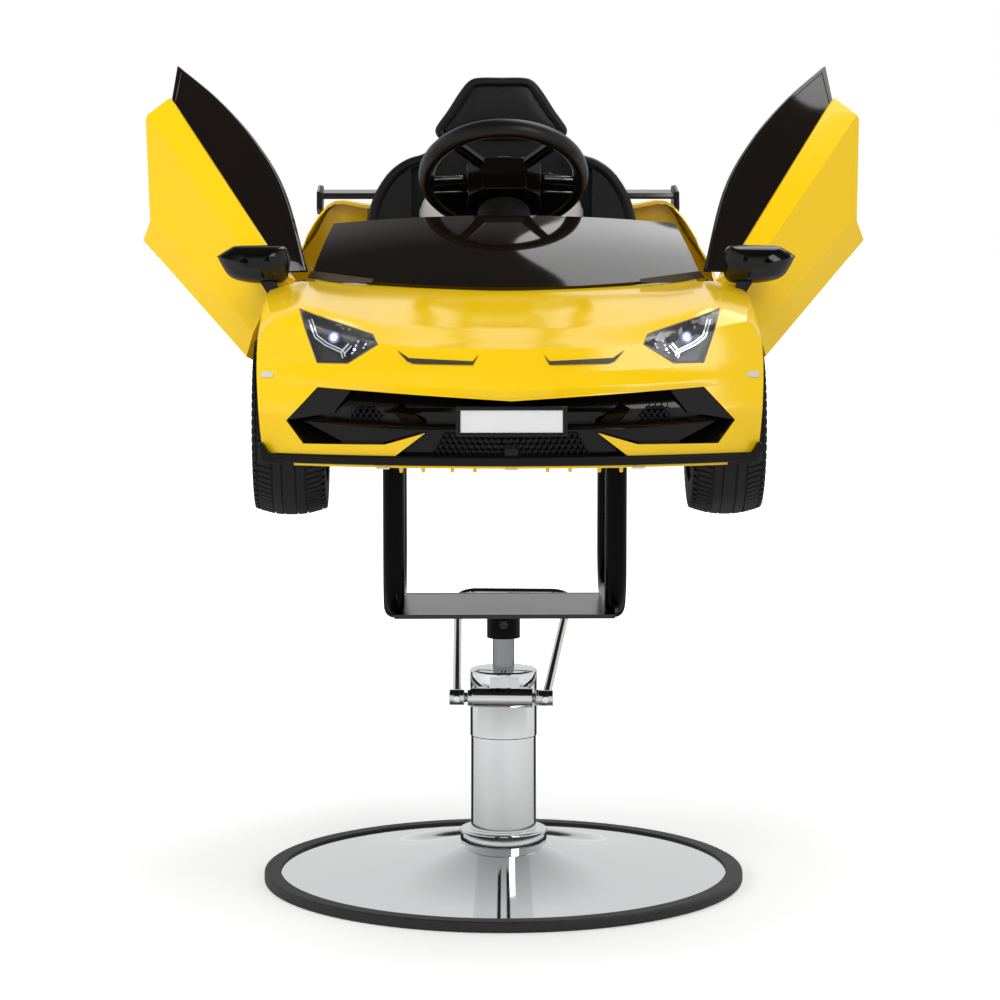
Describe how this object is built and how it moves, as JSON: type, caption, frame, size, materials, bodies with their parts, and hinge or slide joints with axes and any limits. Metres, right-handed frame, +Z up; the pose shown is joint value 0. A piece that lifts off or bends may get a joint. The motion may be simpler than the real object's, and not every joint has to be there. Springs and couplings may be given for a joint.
{
  "type": "kids car barber chair",
  "caption": "Child's salon chair: a ride-on car body with opening doors and steering, carried by two bent tubes on a swivelling hydraulic pump and round base.",
  "frame": {"origin": "centre of the round base on the floor, on the axis that the chair swivels on", "axes": "+Z up, the car faces -Y, +X to the right when looking at its nose along +Y"},
  "size_m": [0.8554, 1.075, 0.981],
  "materials": {
    "yellow_body": "bright gloss moulded plastic",
    "black_gloss": "gloss black plastic",
    "black_satin": "satin black plastic",
    "black_paint": "satin black paint",
    "chrome": "polished",
    "steel": "turned",
    "iron": "as cast",
    "rubber": "moulded",
    "tyre_black": "matt moulded tread",
    "seat_black": "fine grain, satin",
    "seat_grey": "light grey",
    "clear_lens": "clear",
    "red_lens": "red lens",
    "lamp_dark": "dark lamp bowl",
    "trim_grey": "dark grey",
    "plate_white": "white panel in a black frame",
    "rim_silver": "silver grey"
  },
  "bodies": {
    "root": {"base_weight_disc": "iron", "base_chrome_cover": "chrome", "base_rubber_ring": "rubber", "pump_flange_collar": "chrome", "pump_lower_sleeve": "chrome", "pump_cylinder": "steel", "pump_head": "chrome"},
    "lever": {"lever_shaft": "steel", "lever_clamps": "chrome", "foot_lever": "chrome", "lever_bolts": "chrome"},
    "piston": {"piston_head": "steel"},
    "carriage": {"piston_rod": "chrome", "rod_socket": "black_paint", "carriage_bolts": "steel", "seat_plate": "black_paint", "side_tube_left": "black_paint", "side_tube_right": "black_paint", "floor_pan": "black_satin", "front_body_shell": "yellow_body", "rear_body_shell": "yellow_body", "side_sills": "yellow_body", "front_lip": "black_satin", "front_grille": "black_gloss", "number_plate": "plate_white", "headlight_housings": "lamp_dark", "headlight_lenses": "clear_lens", "hood_trims": "trim_grey", "windshield": "black_gloss", "dashboard": "black_satin", "seat_shell": "seat_black", "seat_insert": "seat_grey", "headrest": "seat_black", "engine_cover": "black_satin", "rear_bumper": "black_satin", "tail_lights": "red_lens", "rear_wing": "black_gloss", "mirror_housings": "black_gloss", "door_hinge_pins": "steel", "rear_axle": "steel"},
    "door_left": {"door_left_panel": "yellow_body", "door_left_window": "black_gloss"},
    "door_right": {"door_right_panel": "yellow_body", "door_right_window": "black_gloss"},
    "steering": {"steering_wheel": "black_satin", "steering_shaft": "steel"},
    "horn": {"horn_button": "black_gloss"},
    "music": {"music_button": "black_gloss"},
    "power": {"power_button": "black_gloss"},
    "tie_rod": {"tie_rod": "steel"},
    "knuckle_left": {"knuckle_left": "steel"},
    "knuckle_right": {"knuckle_right": "steel"},
    "wheel_front_left": {"tyre_front_left": "tyre_black", "rim_front_left": "rim_silver"},
    "wheel_front_right": {"tyre_front_right": "tyre_black", "rim_front_right": "rim_silver"},
    "wheel_rear_left": {"tyre_rear_left": "tyre_black", "rim_rear_left": "rim_silver"},
    "wheel_rear_right": {"tyre_rear_right": "tyre_black", "rim_rear_right": "rim_silver"}
  },
  "joints": [
    {"name": "lift", "type": "slide", "parent": "root", "child": "piston", "axis": [0, 0, 1], "range_m": [0, 0.15]},
    {"name": "swivel", "type": "hinge", "parent": "piston", "child": "carriage", "pos_m": [0, 0, 0.3], "axis": [0, 0, 1], "continuous": true},
    {"name": "foot_lever_press", "type": "hinge", "parent": "root", "child": "lever", "pos_m": [-0.00335, -0.04788, 0.229], "axis": [-0.9976, 0.0698, 0], "range_deg": [0, 22], "stiffness_Nm_per_rad": 6, "springref_deg": -28.65},
    {"name": "door_left_hinge", "type": "hinge", "parent": "carriage", "child": "door_left", "pos_m": [-0.228, -0.178, 0.734], "axis": [-0.3599, -0.5849, -0.7269], "range_deg": [0, 57]},
    {"name": "door_right_hinge", "type": "hinge", "parent": "carriage", "child": "door_right", "pos_m": [0.228, -0.178, 0.734], "axis": [-0.3599, 0.5849, 0.7269], "range_deg": [0, 57]},
    {"name": "steering_turn", "type": "hinge", "parent": "carriage", "child": "steering", "pos_m": [0, 0, 0.849], "axis": [0, 0.6159, 0.7878], "range_deg": [-40, 40]},
    {"name": "tie_rod_slide", "type": "slide", "parent": "carriage", "child": "tie_rod", "axis": [1, 0, 0], "range_m": [-0.0198, 0.0198]},
    {"name": "knuckle_left_turn", "type": "hinge", "parent": "carriage", "child": "knuckle_left", "pos_m": [-0.18, -0.325, 0.582], "axis": [0, 0, 1], "range_deg": [-19.5, 19.5]},
    {"name": "knuckle_right_turn", "type": "hinge", "parent": "carriage", "child": "knuckle_right", "pos_m": [0.18, -0.325, 0.582], "axis": [0, 0, 1], "range_deg": [-19.5, 19.5]},
    {"name": "horn_press", "type": "slide", "parent": "steering", "child": "horn", "axis": [0, -0.6159, -0.7878], "range_m": [0, 0.003], "stiffness_N_per_m": 500, "springref_m": -0.002},
    {"name": "music_press", "type": "slide", "parent": "steering", "child": "music", "axis": [0, -0.6159, -0.7878], "range_m": [0, 0.002], "stiffness_N_per_m": 300, "springref_m": -0.002},
    {"name": "power_press", "type": "slide", "parent": "carriage", "child": "power", "axis": [0, -1, 0], "range_m": [0, 0.003], "stiffness_N_per_m": 500, "springref_m": -0.002},
    {"name": "wheel_front_left_spin", "type": "hinge", "parent": "knuckle_left", "child": "wheel_front_left", "pos_m": [-0.238, -0.325, 0.582], "axis": [1, 0, 0], "continuous": true},
    {"name": "wheel_rear_left_spin", "type": "hinge", "parent": "carriage", "child": "wheel_rear_left", "pos_m": [-0.238, 0.325, 0.582], "axis": [1, 0, 0], "continuous": true},
    {"name": "wheel_front_right_spin", "type": "hinge", "parent": "knuckle_right", "child": "wheel_front_right", "pos_m": [0.238, -0.325, 0.582], "axis": [1, 0, 0], "continuous": true},
    {"name": "wheel_rear_right_spin", "type": "hinge", "parent": "carriage", "child": "wheel_rear_right", "pos_m": [0.238, 0.325, 0.582], "axis": [1, 0, 0], "continuous": true}
  ],
  "couplings": [
    {"joint": "tie_rod_slide", "follows": "steering_turn", "m_per_rad": 0.0279},
    {"joint": "knuckle_left_turn", "follows": "steering_turn", "ratio": 0.474},
    {"joint": "knuckle_right_turn", "follows": "steering_turn", "ratio": 0.474}
  ]
}
